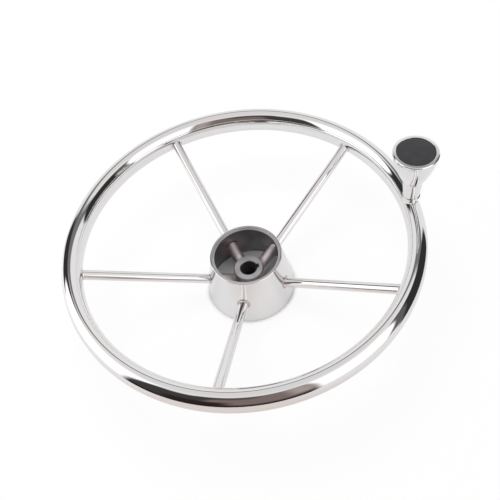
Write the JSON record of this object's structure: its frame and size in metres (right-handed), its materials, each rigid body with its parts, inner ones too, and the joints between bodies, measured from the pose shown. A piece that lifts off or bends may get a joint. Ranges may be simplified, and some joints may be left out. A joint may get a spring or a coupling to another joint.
{
  "type": "boat steering wheel",
  "caption": "Stainless steel boat steering wheel with an oval tube rim, sloping rod spokes, an open cone hub with a keyed tapered bush, and a turning knob with a black cap.",
  "frame": {"origin": "centre of the tapered bore's large end, on the wheel's axis, in the plane of the hub's base", "axes": "+Z along the wheel's axis from the helm towards the driver; -Y along the first spoke; the knob stands parallel to +Z on the +X side of the rim"},
  "size_m": [0.3482, 0.343, 0.1536],
  "materials": {
    "polished_steel": "mirror polished",
    "hub_steel": "polished",
    "turned_steel": "as turned",
    "black_cap": "smooth",
    "nylon": "plain"
  },
  "bodies": {
    "wheel": {"rim": "polished_steel", "hub_shell": "hub_steel", "hub_bush": "turned_steel", "knob_boss": "polished_steel", "knob_screw": "turned_steel", "knob_lower_washer": "turned_steel", "knob_upper_washer": "turned_steel", "spoke_1": "polished_steel", "hub_arm_1": "turned_steel", "spoke_2": "polished_steel", "hub_arm_2": "turned_steel", "spoke_3": "polished_steel", "hub_arm_3": "turned_steel", "spoke_4": "polished_steel", "hub_arm_4": "turned_steel", "spoke_5": "polished_steel", "hub_arm_5": "turned_steel"},
    "knob": {"knob_body": "polished_steel", "knob_bezel": "polished_steel", "knob_cap": "black_cap", "knob_lower_sleeve": "nylon", "knob_upper_sleeve": "nylon"}
  },
  "joints": [
    {"name": "knob_spin", "type": "hinge", "parent": "wheel", "child": "knob", "pos_m": [0.15621, 0.04479, 0.0977], "axis": [0, 0, 1], "continuous": true}
  ]
}
